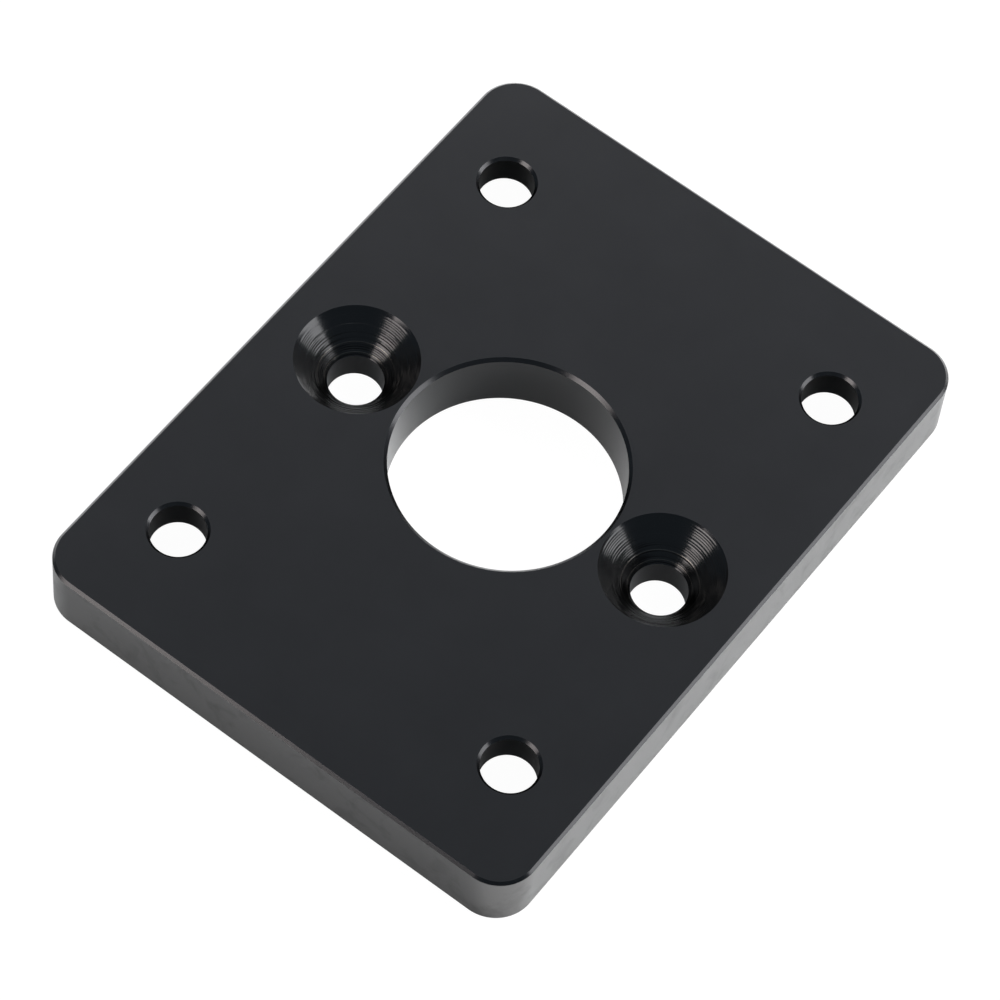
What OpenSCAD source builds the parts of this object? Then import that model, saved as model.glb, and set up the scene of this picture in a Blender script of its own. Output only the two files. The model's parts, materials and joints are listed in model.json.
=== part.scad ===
// Blanking plate that closes the brake booster opening in a firewall.
// It is machined from one piece of aluminium plate and anodised black.
// The four corner holes drop over the studs of the pedal box. Their nuts sit
// in recesses on the back, so the master cylinder's flange can cover them.
// The two countersunk holes take the flat head screws of the master cylinder.
// The back lies at z = 0, and the countersunk face, which meets the firewall,
// is on top. The centre bore stands on the z axis.

/* [Plate] */
// Width, along the line through the two countersunk holes
plate_width = 96.5; // [92:0.5:140]
// Length, across that line
plate_length = 127; // [122:0.5:180]
// Thickness
plate_thickness = 12.7; // [11:0.1:25]
// Radius of the four upright corners
corner_radius = 7; // [2:0.25:18]
// Width of the 45 degree break around the top and the back
edge_break = 0.5; // [0.2:0.05:1.5]

/* [Centre bore] */
// Diameter of the bore that the pushrod passes through
bore_diameter = 40; // [16:0.1:40.5]
// Width of the 45 degree break at both mouths of the bore
bore_break = 0.6; // [0.2:0.05:0.9]

/* [Stud holes] */
// Distance between the studs along the width
stud_spacing_x = 68; // [63:0.1:72]
// Distance between the studs along the length
stud_spacing_y = 88.5; // [78:0.1:100]
// Diameter of the hole around each stud
stud_hole_diameter = 9.6; // [6:0.1:13]
// Width of the 45 degree break where a stud hole meets the top
stud_hole_break = 0.5; // [0.2:0.05:1]
// Diameter of the recess around each nut
nut_recess_diameter = 19; // [16:0.1:22]
// Depth of the recess around each nut
nut_recess_depth = 6.8; // [2:0.1:9]
// Width of the 45 degree break around the mouth of each nut recess
nut_recess_break = 0.4; // [0.2:0.05:1]

/* [Countersunk holes] */
// Distance between the two screws
screw_spacing = 63.5; // [63.2:0.1:70]
// Diameter of the hole around each screw
screw_hole_diameter = 9.7; // [6:0.1:12]
// Diameter of the countersink at the top
countersink_diameter = 21.4; // [14:0.1:21.8]
// Angle between opposite sides of the countersink
countersink_angle = 82; // [80:1:100]
// Width of the 45 degree break where a screw hole meets the back
screw_hole_break = 0.4; // [0.2:0.05:1]

/* [Hidden] */
$fn = 128;

// How far each cutter runs past the face that it opens
overrun = 1;

// Depth at which the sides of a countersink meet its hole
countersink_depth = (countersink_diameter - screw_hole_diameter) / 2 / tan(countersink_angle / 2);

// Centres of the holes, in the plane of the plate
stud_centres = [for (x = [-1, 1], y = [-1, 1]) [x * stud_spacing_x / 2, y * stud_spacing_y / 2]];
screw_centres = [for (x = [-1, 1]) [x * screw_spacing / 2, 0]];

// Centres of the four corner rounds
round_x = plate_width / 2 - corner_radius;
round_y = plate_length / 2 - corner_radius;

// Edge of the plate in section, from the bottom up, with both sharp edges
// broken at 45 degrees. Distances start at the centres of the corner rounds,
// so the rounds and the straight runs between them share it.
edge_section = [
    [corner_radius - edge_break, 0],
    [corner_radius, edge_break],
    [corner_radius, plate_thickness - edge_break],
    [corner_radius - edge_break, plate_thickness]
];

// Mouth of a hole of radius r on the back, with its 45 degree break
function back_mouth(r, width) = [
    [0, -overrun],
    [r + width + overrun, -overrun],
    [r, width]
];

// Mouth of a hole of radius r on the top, with its 45 degree break
function top_mouth(r, width) = [
    [r, plate_thickness - width],
    [r + width + overrun, plate_thickness + overrun],
    [0, plate_thickness + overrun]
];

// Upright round of one corner
module corner_round() {
    rotate_extrude()
        polygon(concat([[0, plate_thickness], [0, 0]], edge_section));
}

// Straight run of plate along Y, as long as given. Its section reaches to the
// centres of the rounds on both sides, and out to the edge from there.
module straight_run(reach, length) {
    right = [for (point = edge_section) [reach + point[0], point[1]]];
    left = [for (i = [len(right) - 1:-1:0]) [-right[i][0], right[i][1]]];
    rotate([90, 0, 0])
        linear_extrude(length, center = true)
            polygon(concat(right, left));
}

// Rounded blank with every outer edge broken, before its holes are cut
module blank() {
    straight_run(round_x, 2 * round_y);
    rotate([0, 0, 90])
        straight_run(round_y, 2 * round_x);
    for (x = [-1, 1], y = [-1, 1])
        translate([x * round_x, y * round_y, 0])
            corner_round();
}

// Cut of the centre bore
module bore_cut() {
    r = bore_diameter / 2;
    rotate_extrude()
        polygon(concat(back_mouth(r, bore_break), top_mouth(r, bore_break)));
}

// Cut of one stud hole: the nut recess from the back, then the hole itself
module stud_cut() {
    recess_r = nut_recess_diameter / 2;
    hole_r = stud_hole_diameter / 2;
    step = [[recess_r, nut_recess_depth], [hole_r, nut_recess_depth]];
    rotate_extrude()
        polygon(concat(back_mouth(recess_r, nut_recess_break), step, top_mouth(hole_r, stud_hole_break)));
}

// Cut of one screw hole: the hole from the back, then the countersink, whose
// sides run on above the top at their own angle
module screw_cut() {
    hole_r = screw_hole_diameter / 2;
    mouth_r = countersink_diameter / 2;
    cone = [
        [hole_r, plate_thickness - countersink_depth],
        [mouth_r + overrun * tan(countersink_angle / 2), plate_thickness + overrun],
        [0, plate_thickness + overrun]
    ];
    rotate_extrude()
        polygon(concat(back_mouth(hole_r, screw_hole_break), cone));
}

// The finished plate
module plate() {
    color("#323335")
        difference() {
            blank();
            bore_cut();
            for (centre = stud_centres)
                translate(centre) stud_cut();
            for (centre = screw_centres)
                translate(centre) screw_cut();
        }
}

plate();
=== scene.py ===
"""Looks of the brake booster blanking plate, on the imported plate's own frame.

The plate is one piece of aluminium, cut from flat bar, milled round its sides, bored, drilled and
countersunk, then anodised black. It is rebuilt here at the same sizes, with finer curves and with its
tool marks, and each kind of machined surface gets its own finish.
"""

import json
import logging
import math
from dataclasses import dataclass, field
from enum import Enum
from random import Random

import bmesh
import bpy
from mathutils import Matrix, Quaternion, Vector


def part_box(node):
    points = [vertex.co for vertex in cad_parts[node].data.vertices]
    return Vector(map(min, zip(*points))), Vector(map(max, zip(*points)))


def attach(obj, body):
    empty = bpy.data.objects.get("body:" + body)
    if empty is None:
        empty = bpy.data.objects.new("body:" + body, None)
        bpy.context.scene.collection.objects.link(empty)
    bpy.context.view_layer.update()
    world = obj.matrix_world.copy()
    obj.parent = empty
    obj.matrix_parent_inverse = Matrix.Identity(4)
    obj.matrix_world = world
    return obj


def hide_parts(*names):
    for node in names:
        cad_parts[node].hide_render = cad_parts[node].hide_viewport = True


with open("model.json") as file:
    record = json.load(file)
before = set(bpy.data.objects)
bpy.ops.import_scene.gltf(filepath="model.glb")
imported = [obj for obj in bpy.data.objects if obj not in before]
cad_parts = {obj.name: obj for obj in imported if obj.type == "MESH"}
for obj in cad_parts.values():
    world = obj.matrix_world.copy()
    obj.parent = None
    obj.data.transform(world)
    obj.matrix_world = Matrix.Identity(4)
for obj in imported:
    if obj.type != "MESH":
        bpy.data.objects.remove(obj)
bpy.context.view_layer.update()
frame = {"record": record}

LOG = logging.getLogger("blanking_plate")

MM = 0.001
NODE = "plate"
BODY = "root"

# Points closer together than this are welded, in metres
WELD = 1e-7
# A point this close to a height lies on it, in metres
ON_LEVEL = 1e-6
# Upward part of a normal, from 0 to 1, under which a face is upright and over which it is flat
UPRIGHT_BELOW = 0.1
FLAT_ABOVE = 0.9
# The value that gives a bevel a circular section
CIRCULAR = 0.5

WHITE = (1.0, 1.0, 1.0, 1.0)
# Light of the two lamps at the front, a little warmer than the others
WARM = "#fff6f1"


def linear(hex_colour: str) -> tuple[float, float, float, float]:
    """Turns an sRGB hex colour into linear light, by the curve of the sRGB standard.

    Args:
        hex_colour: The colour, such as "#1a1b1d".

    Returns:
        Red, green and blue in linear light, and an alpha of 1.
    """
    digits = hex_colour.lstrip("#")
    parts = [int(digits[i:i + 2], 16) / 255 for i in (0, 2, 4)]
    red, green, blue = [p / 12.92 if p <= 0.04045 else ((p + 0.055) / 1.055) ** 2.4 for p in parts]
    return red, green, blue, 1.0


def direction(azimuth: float, elevation: float) -> Vector:
    """Gives the direction at a bearing and a height.

    Args:
        azimuth: Degrees from +X towards +Y.
        elevation: Degrees above the floor.

    Returns:
        A vector of length 1.
    """
    a, e = math.radians(azimuth), math.radians(elevation)
    return Vector((math.cos(a) * math.cos(e), math.sin(a) * math.cos(e), math.sin(e)))


def add_node(tree: bpy.types.NodeTree, kind: str, inputs: dict | None = None,
             **settings: object) -> bpy.types.Node:
    """Adds a node with its settings, its input values and its links.

    Args:
        tree: The node tree that gets the node.
        kind: The node's type, such as "ShaderNodeBump".
        inputs: For each input, by name or number, a value or the socket that is linked to it.
        **settings: The node's own properties, such as operation or data_type.

    Returns:
        The new node.
    """
    node = tree.nodes.new(kind)
    for name, value in settings.items():
        setattr(node, name, value)
    for name, value in (inputs or {}).items():
        if isinstance(value, bpy.types.NodeSocket):
            tree.links.new(value, node.inputs[name])
        else:
            node.inputs[name].default_value = value
    return node


@dataclass(frozen=True)
class Pattern:
    """The make-up of a noise pattern.

    Attributes:
        detail: How many finer layers lie on the coarsest one.
        roughness: Strength of each finer layer, as a share of the layer before it.
        distortion: How far the pattern is warped.
    """

    detail: float
    roughness: float
    distortion: float = 0.0

    def add(self, tree: bpy.types.NodeTree, place: bpy.types.NodeSocket,
            scale: float) -> bpy.types.NodeSocket:
        """Adds the pattern to a material.

        Args:
            tree: The material's nodes.
            place: Where each point of the surface is.
            scale: How often the pattern repeats in one unit of place.

        Returns:
            The socket with the pattern's value, from 0 to 1.
        """
        return add_node(tree, "ShaderNodeTexNoise", {
            "Vector": place, "Scale": scale, "Detail": self.detail, "Roughness": self.roughness,
            "Distortion": self.distortion,
        }).outputs["Fac"]


CLOUDS = Pattern(detail=3.0, roughness=0.55)
STAINS = Pattern(detail=5.0, roughness=0.6, distortion=0.6)
GRAIN = Pattern(detail=2.0, roughness=0.6)
# Values of the stain pattern where a stain starts and where it is full
STAIN_EDGE = (0.52, 0.72)
# The cloud pattern seldom leaves the middle half of its range, so its range is drawn this much wider
CLOUD_SPAN = 2.0
# How much darker or paler the dye gets from cloud to cloud
DYE_SPREAD = 0.15


class Surface(Enum):
    """The kinds of machined surface. The value is the material's place on the mesh."""

    FACE = 0
    SIDE = 1
    BREAK = 2
    BORE = 3
    DRILLED = 4
    COUNTERSINK = 5
    RIDGE = 6


@dataclass(frozen=True)
class Anodised:
    """Black anodised aluminium, on one kind of machined surface.

    The metal lies under a clear oxide film that holds black dye. The dye lets almost nothing back from
    the metal, so the eye gets a near black with a cool tinge, and the sealed film adds a sheen that
    grows towards grazing.

    Attributes:
        surface: The kind of surface it is for.
        name: The material's name.
        colour: What the dyed film lets back from the metal, as sRGB hex.
        roughness: Roughness of the metal under the film.
        film_roughness: Roughness of the film itself.
        grain_mm: Size of the pattern that the tool or the etch left, along each axis.
        relief_mm: Height of that pattern.
        cloud_mm: Size of the soft patches where the film is duller.
        cloud: How much rougher the dull patches are.
        film_ior: Refractive index of the film.
        stain: Share of the sheen that is lost where the surface was handled.
        stain_mm: Size of the stains.
    """

    surface: Surface
    name: str
    colour: str
    roughness: float
    film_roughness: float
    grain_mm: tuple[float, float, float]
    relief_mm: float
    cloud_mm: float = 14.0
    cloud: float = 0.04
    film_ior: float = 1.6
    stain: float = 0.0
    stain_mm: float = 5.0

    def build(self) -> bpy.types.Material:
        """Makes the material.

        Returns:
            The new material, on Object coordinates, which are metres in the plate's own frame.
        """
        material = bpy.data.materials.new(self.name)
        material.use_nodes = True
        tree = material.node_tree
        tree.nodes.clear()
        place = add_node(tree, "ShaderNodeTexCoord").outputs["Object"]
        clouds = CLOUDS.add(tree, place, 1 / (self.cloud_mm * MM))
        dullness = add_node(tree, "ShaderNodeMapRange", {
            "Value": clouds,
            "To Min": self.film_roughness - CLOUD_SPAN * self.cloud,
            "To Max": self.film_roughness + CLOUD_SPAN * self.cloud,
        })
        dye = add_node(tree, "ShaderNodeMix", {
            "Factor": clouds, "A": self._tone(1 - DYE_SPREAD), "B": self._tone(1 + DYE_SPREAD),
        }, data_type="RGBA")
        relief = self._relief(tree, place)
        shader = add_node(tree, "ShaderNodeBsdfPrincipled", {
            "Base Color": dye.outputs["Result"],
            "Metallic": 1.0,
            "Roughness": self.roughness,
            "Coat Weight": self._sheen(tree, place) if self.stain else 1.0,
            "Coat Roughness": dullness.outputs["Result"],
            "Coat IOR": self.film_ior,
            "Normal": relief,
            "Coat Normal": relief,
        })
        add_node(tree, "ShaderNodeOutputMaterial", {"Surface": shader.outputs["BSDF"]})
        return material

    def _tone(self, share: float) -> tuple[float, float, float, float]:
        """The film's colour, made darker or lighter by a share."""
        red, green, blue, alpha = linear(self.colour)
        return red * share, green * share, blue * share, alpha

    def _sheen(self, tree: bpy.types.NodeTree, place: bpy.types.NodeSocket) -> bpy.types.NodeSocket:
        """Adds the weight of the film, which is less in a few small stains.

        Args:
            tree: The material's nodes.
            place: Object coordinates.

        Returns:
            The socket with the weight.
        """
        start, full = STAIN_EDGE
        return add_node(tree, "ShaderNodeMapRange", {
            "Value": STAINS.add(tree, place, 1 / (self.stain_mm * MM)),
            "From Min": start, "From Max": full, "To Min": 1.0, "To Max": 1.0 - self.stain,
        }).outputs["Result"]

    def _relief(self, tree: bpy.types.NodeTree, place: bpy.types.NodeSocket) -> bpy.types.NodeSocket:
        """Adds the height of the tool marks or of the etched grain.

        Args:
            tree: The material's nodes.
            place: Object coordinates.

        Returns:
            The socket with the bumped normal.
        """
        sized = add_node(tree, "ShaderNodeMapping", {
            "Vector": place, "Scale": tuple(1 / (size * MM) for size in self.grain_mm),
        })
        return add_node(tree, "ShaderNodeBump", {
            "Height": GRAIN.add(tree, sized.outputs["Vector"], 1.0),
            "Distance": self.relief_mm * MM,
            "Strength": 1.0,
        }).outputs["Normal"]


# Longer than the plate in every direction, so that a pattern doesn't change along that axis
LONG = 2000.0

# Grains and tool marks are drawn coarser than real ones, or they would be finer than a pixel
FINISHES = (
    # Bar stock that was etched before it was dyed: an even satin with a fine, close grain
    Anodised(Surface.FACE, "anodised_etched_face", "#2a2b2f", roughness=0.34, film_roughness=0.25,
             grain_mm=(0.35, 0.35, 0.35), relief_mm=0.0012, cloud=0.008),
    # Sides cut by an end mill: faint upright cutter lines, and a few stains where it was handled
    Anodised(Surface.SIDE, "anodised_milled_side", "#3a3938", roughness=0.34, film_roughness=0.325,
             grain_mm=(0.5, 0.5, LONG), relief_mm=0.0010, cloud_mm=7.0, cloud=0.02, stain=0.35),
    # Edges broken with a small chamfer cutter: a clean cut that catches thin lines of light
    Anodised(Surface.BREAK, "anodised_broken_edge", "#2c2c2f", roughness=0.24, film_roughness=0.19,
             grain_mm=(0.6, 0.6, 0.3), relief_mm=0.0015, cloud=0.02, film_ior=1.56),
    # Bored in one slow pass: fine rings that only show as a soft sheen along the wall
    Anodised(Surface.BORE, "anodised_bored_wall", "#222324", roughness=0.28, film_roughness=0.22,
             grain_mm=(LONG, LONG, 0.2), relief_mm=0.0008, cloud=0.02),
    # Drilled: a little coarser, and its colour painted nearly black as painted shade for the hole,
    # where little light gets in
    Anodised(Surface.DRILLED, "anodised_drilled_wall", "#1a1a1c", roughness=0.36, film_roughness=0.32,
             grain_mm=(LONG, LONG, 0.15), relief_mm=0.0020, cloud=0.01, film_ior=1.5),
    # Cut by a countersink that chattered: the smoothest film, over rings that break up the light
    Anodised(Surface.COUNTERSINK, "anodised_turned_cone", "#1b1c1f", roughness=0.20,
             film_roughness=0.15, grain_mm=(2.5, 2.5, 0.10), relief_mm=0.0022, cloud=0.01,
             film_ior=1.66),
    # Thin ridges in the countersink that catch the lamps, drawn in paler metal: a painted glint on top
    # of their real glints
    Anodised(Surface.RIDGE, "ridge_painted_glint", "#6c6864", roughness=0.22, film_roughness=0.14,
             grain_mm=(LONG, LONG, 0.12), relief_mm=0.0006, cloud=0.01),
)


@dataclass(frozen=True)
class Run:
    """One stretch of a hole's section, with the surface that it becomes.

    Attributes:
        surface: The kind of surface.
        points: Radius and height of each point, in metres.
    """

    surface: Surface
    points: tuple[tuple[float, float], ...]


@dataclass(frozen=True)
class Hole:
    """A round hole, made by spinning its section about an upright axis.

    Attributes:
        centre: Where the axis stands, in metres.
        runs: The section from the back to the top.
        steps: How many flats go round it.
    """

    centre: tuple[float, float]
    runs: tuple[Run, ...]
    steps: int

    def cut(self, bm: bmesh.types.BMesh) -> None:
        """Spins the section into walls that are open at the back and at the top.

        Args:
            bm: The mesh that gets the walls.
        """
        x, y = self.centre
        for run in self.runs:
            known = set(bm.faces)
            points = [bm.verts.new((x + radius, y, height)) for radius, height in run.points]
            lines = [bm.edges.new(pair) for pair in zip(points, points[1:])]
            bmesh.ops.spin(bm, geom=points + lines, cent=(x, y, 0), axis=(0, 0, 1), angle=math.tau,
                           steps=self.steps, use_merge=True)
            for face in set(bm.faces) - known:
                face.material_index = run.surface.value
                face.smooth = True


@dataclass(frozen=True)
class PlateSizes:
    """Sizes of the plate, in metres. What the frame states comes from there.

    Attributes:
        width: Along X.
        length: Along Y.
        thickness: Along Z.
        bore_radius: Radius of the centre bore.
        stud_spacing: Distances between the stud holes, along X and Y.
        stud_radius: Radius of a stud hole.
        screw_spacing: Distance between the countersunk holes, along X.
        screw_radius: Radius of a countersunk hole under its countersink.
        corner_radius: Radius of the upright corners.
        edge_break: Width of the 45 degree break round the top and the back.
        bore_break: Width of the break at both mouths of the bore.
        stud_break: Width of the break at the top of a stud hole.
        recess_radius: Radius of the recess for a nut.
        recess_depth: Depth of that recess, from the back.
        recess_break: Width of the break at its mouth.
        screw_break: Width of the break at the back of a countersunk hole.
        sink_radius: Radius of a countersink at the top.
        sink_angle: Angle between its sides, in radians.
    """

    width: float
    length: float
    thickness: float
    bore_radius: float
    stud_spacing: tuple[float, float]
    stud_radius: float
    screw_spacing: float
    screw_radius: float
    corner_radius: float = 7.0 * MM
    edge_break: float = 0.5 * MM
    bore_break: float = 0.6 * MM
    stud_break: float = 0.5 * MM
    recess_radius: float = 9.5 * MM
    recess_depth: float = 6.8 * MM
    recess_break: float = 0.4 * MM
    screw_break: float = 0.4 * MM
    sink_radius: float = 10.7 * MM
    sink_angle: float = math.radians(82)

    @classmethod
    def from_frame(cls, record: dict) -> "PlateSizes":
        """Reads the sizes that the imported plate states.

        Args:
            record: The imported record.

        Returns:
            The plate's sizes.
        """
        low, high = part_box(NODE)
        dims = {mount["name"]: mount["dims"] for mount in record["mounts"]}
        studs, screws = dims["studs"], dims["master_cylinder_screws"]
        return cls(
            width=high.x - low.x,
            length=high.y - low.y,
            thickness=high.z - low.z,
            bore_radius=dims["centre_bore"]["r_mm"] * MM,
            stud_spacing=(studs["spacing_x_mm"] * MM, studs["spacing_y_mm"] * MM),
            stud_radius=studs["hole_r_mm"] * MM,
            screw_spacing=screws["spacing_x_mm"] * MM,
            screw_radius=screws["hole_r_mm"] * MM,
        )

    @property
    def sink_depth(self) -> float:
        """Depth at which the countersink meets its hole."""
        return (self.sink_radius - self.screw_radius) / math.tan(self.sink_angle / 2)


@dataclass
class BlankingPlate:
    """The plate, as one mesh with a material for each kind of machined surface.

    Attributes:
        sizes: The plate's sizes.
        corner_segments: Flats round each upright corner.
        bore_steps: Flats round the bore.
        hole_steps: Flats round a stud hole.
        sink_steps: Flats round a countersunk hole.
        sharp_angle: Edges that turn by more than this are sharp, in radians.
        ring_seeds: Seeds for the rings of the left and the right countersink.
        ring_mm: Narrowest and widest ring that the cutter left in a countersink, along the radius.
        ring_depth_mm: Least and most depth of those rings.
        chatter_mm: How much deeper the rings are where the cutter chattered.
        chatter_share: Share of the rings where it did.
        ridges_mm: Radii in a countersink where the cutter paused and left a thin ridge.
        ridge_mm: Width and height of such a ridge.
        materials: The finishes, in the order of their places on the mesh.
    """

    sizes: PlateSizes
    corner_segments: int = 32
    bore_steps: int = 256
    hole_steps: int = 128
    sink_steps: int = 192
    sharp_angle: float = math.radians(4)
    ring_seeds: tuple[int, int] = (11, 23)
    ring_mm: tuple[float, float] = (0.10, 0.20)
    ring_depth_mm: tuple[float, float] = (0.009, 0.026)
    chatter_mm: float = 0.008
    chatter_share: float = 0.2
    ridges_mm: tuple[float, ...] = (5.2, 6.34)
    ridge_mm: tuple[float, float] = (0.12, 0.009)
    materials: list[bpy.types.Material] = field(default_factory=list)

    def dress(self, finishes: tuple[Anodised, ...]) -> None:
        """Builds the finishes, in the order of their places on the mesh."""
        self.materials = [f.build() for f in sorted(finishes, key=lambda f: f.surface.value)]

    def build(self) -> bpy.types.Object:
        """Builds the plate.

        Returns:
            The plate's object, at the origin, with its place in its mesh.
        """
        bm = bmesh.new()
        self._blank(bm)
        for hole in self._holes():
            hole.cut(bm)
        bmesh.ops.remove_doubles(bm, verts=bm.verts, dist=WELD)
        self._close(bm, 0.0)
        self._close(bm, self.sizes.thickness)
        bmesh.ops.recalc_face_normals(bm, faces=bm.faces)
        for edge in bm.edges:
            edge.smooth = edge.calc_face_angle(0.0) < self.sharp_angle
        mesh = bpy.data.meshes.new("blanking_plate")
        bm.to_mesh(mesh)
        bm.free()
        for material in self.materials:
            mesh.materials.append(material)
        plate = bpy.data.objects.new("blanking_plate", mesh)
        bpy.context.scene.collection.objects.link(plate)
        return plate

    def _blank(self, bm: bmesh.types.BMesh) -> None:
        """Makes the rounded block, with its edges broken, and open at the top and the back.

        Args:
            bm: The mesh that gets the block.
        """
        s = self.sizes
        bmesh.ops.create_cube(bm, size=1.0)
        bmesh.ops.scale(bm, vec=(s.width, s.length, s.thickness), verts=bm.verts)
        bmesh.ops.translate(bm, vec=(0, 0, s.thickness / 2), verts=bm.verts)
        corners = [e for e in bm.edges if abs(e.verts[0].co.z - e.verts[1].co.z) > s.thickness / 2]
        bmesh.ops.bevel(bm, geom=corners, offset=s.corner_radius, segments=self.corner_segments,
                        profile=CIRCULAR, affect="EDGES")
        rims = [e for f in bm.faces if abs(f.normal.z) > FLAT_ABOVE for e in f.edges]
        bmesh.ops.bevel(bm, geom=rims, offset=s.edge_break, segments=1, profile=CIRCULAR,
                        affect="EDGES")
        for face in bm.faces:
            upright = abs(face.normal.z) < UPRIGHT_BELOW
            face.material_index = (Surface.SIDE if upright else Surface.BREAK).value
            # Of the faces that stay, only the four long sides are larger, and those are flat
            face.smooth = face.calc_area() < s.thickness * s.corner_radius
        ends = [f for f in bm.faces if abs(f.normal.z) > FLAT_ABOVE]
        bmesh.ops.delete(bm, geom=ends, context="FACES_ONLY")

    def _close(self, bm: bmesh.types.BMesh, height: float) -> None:
        """Fills the flat face between the outer edge and the mouths of the holes.

        Args:
            bm: The mesh.
            height: Height of the face.
        """
        rims = [e for e in bm.edges
                if e.is_boundary and all(abs(v.co.z - height) < ON_LEVEL for v in e.verts)]
        filled = bmesh.ops.triangle_fill(bm, use_beauty=True, use_dissolve=False, edges=rims,
                                         normal=(0, 0, 1))
        for face in filled["geom"]:
            if isinstance(face, bmesh.types.BMFace):
                face.material_index = Surface.FACE.value
                face.smooth = False

    def _holes(self) -> list[Hole]:
        """Lists the holes.

        Returns:
            The bore, the four stud holes and the two countersunk holes.
        """
        s = self.sizes
        bore = Hole((0.0, 0.0), self._bore_section(), self.bore_steps)
        half_x, half_y = (spacing / 2 for spacing in s.stud_spacing)
        studs = [Hole((x, y), self._stud_section(), self.hole_steps)
                 for x in (-half_x, half_x) for y in (-half_y, half_y)]
        half = s.screw_spacing / 2
        screws = [Hole((x, 0.0), self._screw_section(Random(seed)), self.sink_steps)
                  for x, seed in zip((-half, half), self.ring_seeds)]
        return [bore, *studs, *screws]

    def _bore_section(self) -> tuple[Run, ...]:
        """Gives the section of the centre bore.

        Returns:
            The wall, with a break at both mouths.
        """
        s = self.sizes
        r, b, top = s.bore_radius, s.bore_break, s.thickness
        return (
            Run(Surface.BREAK, ((r + b, 0.0), (r, b))),
            Run(Surface.BORE, ((r, b), (r, top - b))),
            Run(Surface.BREAK, ((r, top - b), (r + b, top))),
        )

    def _stud_section(self) -> tuple[Run, ...]:
        """Gives the section of a stud hole.

        Returns:
            The nut's recess with its broken mouth, then the hole, then its break at the top.
        """
        s = self.sizes
        wide, r, b, top = s.recess_radius, s.stud_radius, s.stud_break, s.thickness
        return (
            Run(Surface.BREAK, ((wide + s.recess_break, 0.0), (wide, s.recess_break))),
            Run(Surface.DRILLED, ((wide, s.recess_break), (wide, s.recess_depth),
                                  (r, s.recess_depth))),
            Run(Surface.DRILLED, ((r, s.recess_depth), (r, top - b))),
            Run(Surface.BREAK, ((r, top - b), (r + b, top))),
        )

    def _screw_section(self, random: Random) -> tuple[Run, ...]:
        """Gives the section of a countersunk hole.

        Args:
            random: Source of the uneven spacing of the rings.

        Returns:
            The break at the back, the hole, and the countersink with its rings.
        """
        s = self.sizes
        r, foot = s.screw_radius, s.thickness - s.sink_depth
        return (
            Run(Surface.BREAK, ((r + s.screw_break, 0.0), (r, s.screw_break))),
            Run(Surface.DRILLED, ((r, s.screw_break), (r, foot))),
            *self._ringed_cone(random),
        )

    def _ringed_cone(self, random: Random) -> tuple[Run, ...]:
        """Gives the side of a countersink, with the rings and ridges that the cutter left.

        Every second point is sunk under the true cone, and a ridge stands on it where one is due.

        Args:
            random: Source of the uneven spacing and depth.

        Returns:
            Runs from the hole up to the top.
        """
        s = self.sizes
        foot = s.thickness - s.sink_depth
        slope = math.tan(s.sink_angle / 2)
        widest = self.ring_mm[1] * MM
        ridges = [r * MM for r in self.ridges_mm]
        radius = s.screw_radius
        points = [(radius, foot)]
        runs = []
        sunk = False
        # The last ring takes up what is left, which is at most two of the widest rings
        while radius < s.sink_radius - 2 * widest:
            radius += random.uniform(*self.ring_mm) * MM
            depth = random.uniform(*self.ring_depth_mm)
            if random.random() < self.chatter_share:
                depth += self.chatter_mm
            sunk = not sunk
            height = foot + (radius - s.screw_radius) / slope
            points.append((radius, height - depth * MM if sunk else height))
            if ridges and radius > ridges[0]:
                ridges.pop(0)
                runs.append(Run(Surface.COUNTERSINK, tuple(points)))
                width, rise = (size * MM for size in self.ridge_mm)
                start = points[-1]
                crest = (radius + width / 2, height + width / 2 / slope + rise)
                radius += width
                points = [(radius, height + width / slope)]
                runs.append(Run(Surface.RIDGE, (start, crest, points[0])))
        points.append((s.sink_radius, s.thickness))
        runs.append(Run(Surface.COUNTERSINK, tuple(points)))
        return tuple(runs)


@dataclass(frozen=True)
class Softbox:
    """An oblong lamp with an even front, aimed at the plate.

    Attributes:
        name: The lamp's name.
        azimuth: Degrees from +X towards +Y.
        elevation: Degrees above the floor.
        distance: Metres from the plate.
        size: Width and height in metres.
        level: How bright its front is, where 1 is white.
        colour: Colour of its light, as sRGB hex.
    """

    name: str
    azimuth: float
    elevation: float
    distance: float
    size: tuple[float, float]
    level: float
    colour: str = "#ffffff"

    def build(self) -> None:
        """Makes the lamp. The camera doesn't see its front."""
        lamp = bpy.data.lights.new(self.name, "AREA")
        lamp.shape = "RECTANGLE"
        lamp.size, lamp.size_y = self.size
        lamp.energy = self.level * math.pi * self.size[0] * self.size[1]
        lamp.color = linear(self.colour)[:3]
        holder = bpy.data.objects.new(self.name, lamp)
        bpy.context.scene.collection.objects.link(holder)
        towards = direction(self.azimuth, self.elevation)
        holder.location = towards * self.distance
        holder.rotation_mode = "QUATERNION"
        holder.rotation_quaternion = towards.to_track_quat("Z", "Y")
        holder.visible_camera = False


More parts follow.
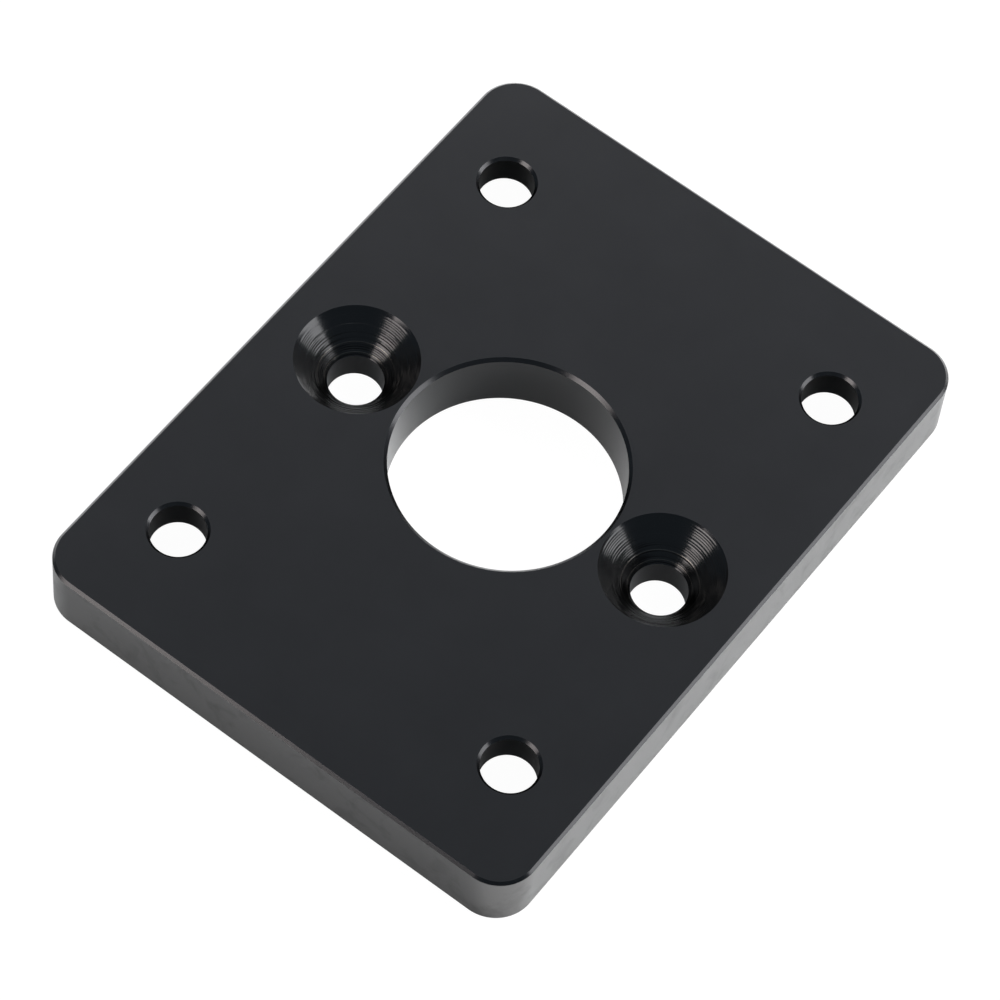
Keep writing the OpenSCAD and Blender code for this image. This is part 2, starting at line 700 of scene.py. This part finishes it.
@dataclass(frozen=True)
class RayShares:
    """A share for each kind of ray, and none for the rest.

    Attributes:
        camera: The share for what the camera sees.
        glossy: The share for what a glossy surface mirrors.
        transmission: The share for what is seen through glass.
    """

    camera: float
    glossy: float
    transmission: float

    def add(self, tree: bpy.types.NodeTree) -> bpy.types.NodeSocket:
        """Adds the share of the ray at hand.

        Args:
            tree: The nodes of the floor or of the world.

        Returns:
            The socket with the share.
        """
        path = add_node(tree, "ShaderNodeLightPath")
        shares = (("Is Camera Ray", self.camera), ("Is Glossy Ray", self.glossy),
                  ("Is Transmission Ray", self.transmission))
        first, *others = [
            add_node(tree, "ShaderNodeMath", {0: path.outputs[kind], 1: share}, operation="MULTIPLY")
            for kind, share in shares
        ]
        total = first.outputs[0]
        for part in others:
            total = add_node(tree, "ShaderNodeMath", {0: total, 1: part.outputs[0]},
                             operation="ADD", use_clamp=True).outputs[0]
        return total


@dataclass
class Studio:
    """A white floor, soft lamps and the room round them.

    Attributes:
        lamps: The lamps.
        floor_radius: Radius of the floor in metres.
        floor_segments: Straight lengths round the floor.
        floor_colour: Colour of the paper, as sRGB hex.
        floor_glow: How bright the paper is for the rays that see it evenly lit.
        floor_seen: How much each kind of ray sees the paper evenly lit.
        contact: Gap in metres under which the paper lets light through to the plate's back.
        walls: Level of the room up to where the ceiling starts.
        ceiling: Level of the ceiling where it is brightest.
        ceiling_stops: Heights of a direction, 0 level and 1 upright, and the ceiling's share there.
        below: Level of the light from below the horizon, which reaches only the plate's back.
        room_seen: How much each kind of ray sees plain white in place of the room.
    """

    lamps: tuple[Softbox, ...] = (
        # Name, azimuth, elevation, distance, size and level
        Softbox("right_strip", 29.5, 16.0, 1.3, (0.86, 0.44), 2.4),
        Softbox("front_low", -121.0, 20.5, 1.3, (0.60, 0.20), 2.8, WARM),
        Softbox("front_high", -113.0, 31.0, 1.3, (0.55, 0.28), 3.6, WARM),
        Softbox("front_top", -75.0, 62.0, 1.7, (0.9, 0.4), 0.9),
        Softbox("right_low", 52.0, 30.0, 1.7, (0.8, 0.4), 17.5),
        Softbox("right_mid", 50.0, 42.0, 1.7, (0.8, 0.4), 8.8),
        Softbox("right_key", 27.0, 40.0, 1.7, (1.1, 0.7), 1.0),
        Softbox("right_top", 10.0, 52.0, 1.7, (1.0, 0.6), 0.4),
        Softbox("right_high", -25.0, 52.0, 1.7, (0.9, 0.5), 1.0),
        Softbox("back_right", 80.0, 32.0, 1.7, (0.8, 0.4), 10.7),
        Softbox("back_high", 132.0, 45.0, 1.7, (1.1, 0.3), 0.9),
        Softbox("left_box", 180.0, 40.0, 1.7, (1.0, 0.6), 4.4),
    )
    floor_radius: float = 6.0
    floor_segments: int = 96
    floor_colour: str = "#e9e9e9"
    floor_glow: float = 1.08
    floor_seen: RayShares = RayShares(camera=0.9, glossy=0.02, transmission=0.9)
    contact: float = 0.05 * MM
    walls: tuple[float, float, float] = (0.066, 0.088, 0.108)
    ceiling: tuple[float, float, float] = (0.268, 0.278, 0.290)
    ceiling_stops: tuple[tuple[float, float], ...] = (
        (0.60, 0.0), (0.70, 1.0), (0.84, 1.0), (0.90, 0.25),
    )
    below: float = 0.8
    room_seen: RayShares = RayShares(camera=1.0, glossy=0.02, transmission=1.0)

    def build(self) -> None:
        """Makes the floor, the lamps and the room."""
        for lamp in self.lamps:
            lamp.build()
        self._floor()
        self._room()

    def _floor(self) -> None:
        """Makes the white paper that the plate lies on, with the plate's faint shadow."""
        bm = bmesh.new()
        bmesh.ops.create_circle(bm, cap_ends=True, radius=self.floor_radius,
                                segments=self.floor_segments)
        mesh = bpy.data.meshes.new("floor")
        bm.to_mesh(mesh)
        bm.free()
        mesh.materials.append(self._paper())
        floor = bpy.data.objects.new("floor", mesh)
        bpy.context.scene.collection.objects.link(floor)

    def _paper(self) -> bpy.types.Material:
        """Makes the paper's material.

        It is dull white, so it lights the sides of the plate softly, and the camera sees it evenly lit.
        From below it is clear, and it lets light through to the back that lies on it, so that the back
        shows too.

        Returns:
            The new material.
        """
        material = bpy.data.materials.new("white_paper")
        material.use_nodes = True
        tree = material.node_tree
        tree.nodes.clear()
        paper = add_node(tree, "ShaderNodeBsdfDiffuse", {"Color": linear(self.floor_colour)})
        white = add_node(tree, "ShaderNodeEmission", {"Color": WHITE, "Strength": self.floor_glow})
        lit = add_node(tree, "ShaderNodeMixShader", {
            0: self.floor_seen.add(tree), 1: paper.outputs["BSDF"], 2: white.outputs["Emission"],
        })
        underneath = add_node(tree, "ShaderNodeNewGeometry").outputs["Backfacing"]
        length = add_node(tree, "ShaderNodeLightPath").outputs["Ray Length"]
        touching = add_node(tree, "ShaderNodeMath", {0: length, 1: self.contact},
                            operation="LESS_THAN").outputs[0]
        open_side = add_node(tree, "ShaderNodeMath", {0: underneath, 1: touching},
                             operation="MAXIMUM").outputs[0]
        clear = add_node(tree, "ShaderNodeBsdfTransparent")
        both = add_node(tree, "ShaderNodeMixShader", {
            0: open_side, 1: lit.outputs["Shader"], 2: clear.outputs["BSDF"],
        })
        add_node(tree, "ShaderNodeOutputMaterial", {"Surface": both.outputs["Shader"]})
        return material

    def _room(self) -> None:
        """Makes the room: dim walls, a paler ceiling, and white where the camera sees it."""
        world = bpy.data.worlds.new("room")
        bpy.context.scene.world = world
        world.use_nodes = True
        tree = world.node_tree
        tree.nodes.clear()
        facing = add_node(tree, "ShaderNodeTexCoord").outputs["Generated"]
        height = add_node(tree, "ShaderNodeSeparateXYZ", {"Vector": facing}).outputs["Z"]
        up = add_node(tree, "ShaderNodeValToRGB", {"Fac": height})
        stops = up.color_ramp.elements
        for position, _ in self.ceiling_stops[len(stops):]:
            stops.new(position)
        for stop, (position, share) in zip(stops, self.ceiling_stops):
            stop.position = position
            stop.color = (share, share, share, 1)
        above = add_node(tree, "ShaderNodeMix", {
            "Factor": up.outputs["Color"], "A": (*self.walls, 1), "B": (*self.ceiling, 1),
        }, data_type="RGBA")
        lower = add_node(tree, "ShaderNodeMath", {0: height, 1: 0.0}, operation="LESS_THAN")
        whole = add_node(tree, "ShaderNodeMix", {
            "Factor": lower.outputs[0],
            "A": above.outputs["Result"],
            "B": (self.below, self.below, self.below, 1),
        }, data_type="RGBA")
        shown = add_node(tree, "ShaderNodeMix", {
            "Factor": self.room_seen.add(tree), "A": whole.outputs["Result"], "B": WHITE,
        }, data_type="RGBA")
        light = add_node(tree, "ShaderNodeBackground", {"Color": shown.outputs["Result"]})
        add_node(tree, "ShaderNodeOutputWorld", {"Surface": light.outputs["Background"]})


@dataclass(frozen=True)
class PhotoCamera:
    """The camera, at the photograph's viewing angle.

    Attributes:
        target: The point that the middle of the picture shows, in metres.
        azimuth: Degrees round from the -Y side towards +X.
        elevation: Degrees above the floor.
        roll: Degrees that the camera is turned about its own line of sight.
        distance: Metres from the target.
        focal_px: Focal length in pixels of a picture that is picture_px wide.
        picture_px: Width of that picture in pixels.
        clip: Nearest and farthest distance that it shows, in metres.
    """

    target: tuple[float, float, float] = (1.253 * MM, -3.290 * MM, 6.387 * MM)
    azimuth: float = 31.387
    elevation: float = 59.515
    roll: float = 6.913
    distance: float = 0.79936
    focal_px: float = 4825.8
    picture_px: float = 1000.0
    clip: tuple[float, float] = (0.01, 50.0)

    def build(self) -> None:
        """Makes the camera and gives it to the scene."""
        data = bpy.data.cameras.new("photo_camera")
        data.lens = data.sensor_width * self.focal_px / self.picture_px
        data.clip_start, data.clip_end = self.clip
        camera = bpy.data.objects.new("photo_camera", data)
        bpy.context.scene.collection.objects.link(camera)
        # A direction's azimuth starts at +X, and the camera's at -Y
        back = direction(self.azimuth - 90, self.elevation)
        camera.location = Vector(self.target) + back * self.distance
        camera.rotation_mode = "QUATERNION"
        turn = Quaternion((0, 0, 1), math.radians(self.roll))
        camera.rotation_quaternion = (-back).to_track_quat("-Z", "Y") @ turn
        bpy.context.scene.camera = camera


def main() -> None:
    """Builds the camera, the plate and the studio, and reports the last two."""
    logging.basicConfig(level=logging.INFO, format="%(name)s: %(message)s")
    PhotoCamera().build()
    part = BlankingPlate(PlateSizes.from_frame(frame["record"]))
    part.dress(FINISHES)
    plate = part.build()
    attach(plate, BODY)
    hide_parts(NODE)
    LOG.info("%s: %d faces, %d finishes", plate.name, len(plate.data.polygons), len(part.materials))
    studio = Studio()
    studio.build()
    LOG.info("studio: %d lamps", len(studio.lamps))
    bpy.context.scene.view_settings.view_transform = "Standard"


if __name__ == "__main__":
    main()
